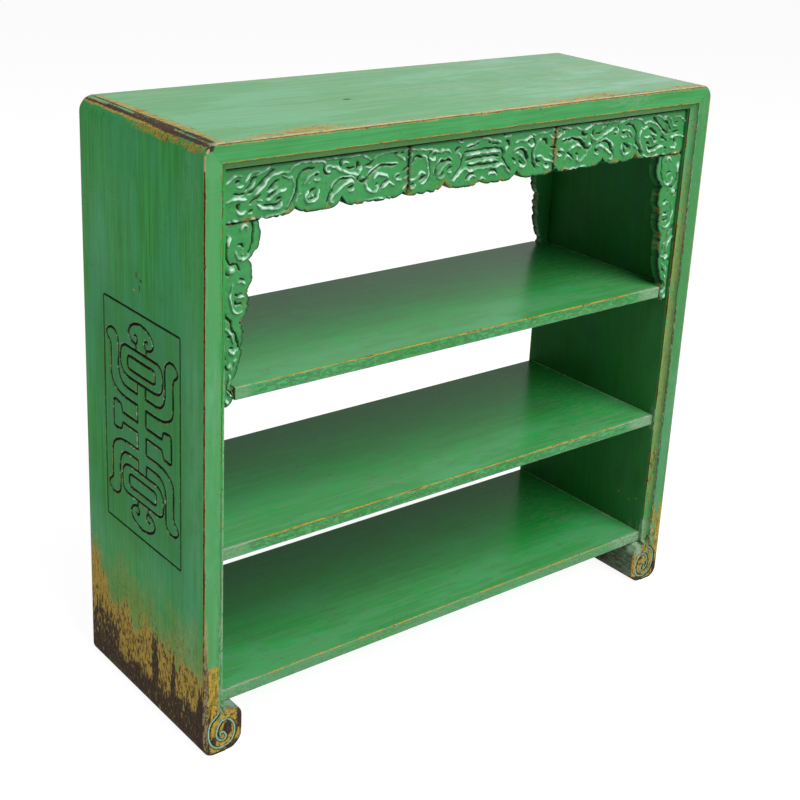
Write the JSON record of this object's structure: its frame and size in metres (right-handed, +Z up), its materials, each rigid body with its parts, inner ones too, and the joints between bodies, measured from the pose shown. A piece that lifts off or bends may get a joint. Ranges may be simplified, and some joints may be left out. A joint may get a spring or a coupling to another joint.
{
  "type": "open book cabinet",
  "caption": "Open Chinese book cabinet in worn green lacquer: thick rounded case boards, shelves, carved apron with hanging spandrels, and feet rolled inwards as scrolls.",
  "frame": {"origin": "on the floor, under the middle of the case", "axes": "+X to the right across the front, +Y from the front to the back, +Z up"},
  "size_m": [1.12, 0.4, 1.058],
  "materials": {
    "green_lacquer": "rubbed satin lacquer over ochre undercoat",
    "carved_green_lacquer": "satin lacquer with pale rubbed relief",
    "worn_ochre_lacquer": "worn lacquer, ochre and dark wood showing",
    "bare_elm": "unfinished"
  },
  "bodies": {
    "root": {"left_side_board": "green_lacquer", "right_side_board": "green_lacquer", "top_board": "green_lacquer", "upper_shelf": "green_lacquer", "middle_shelf": "green_lacquer", "bottom_shelf": "green_lacquer", "front_apron_left": "carved_green_lacquer", "front_apron_centre": "carved_green_lacquer", "front_apron_right": "carved_green_lacquer", "back_apron_left": "carved_green_lacquer", "back_apron_centre": "carved_green_lacquer", "back_apron_right": "carved_green_lacquer", "front_left_spandrel": "carved_green_lacquer", "front_right_spandrel": "carved_green_lacquer", "back_left_spandrel": "carved_green_lacquer", "back_right_spandrel": "carved_green_lacquer", "left_foot_scroll": "worn_ochre_lacquer", "right_foot_scroll": "worn_ochre_lacquer", "foot_dowels": "bare_elm", "apron_joint_pegs": "bare_elm", "spandrel_pegs": "bare_elm"}
  },
  "joints": []
}
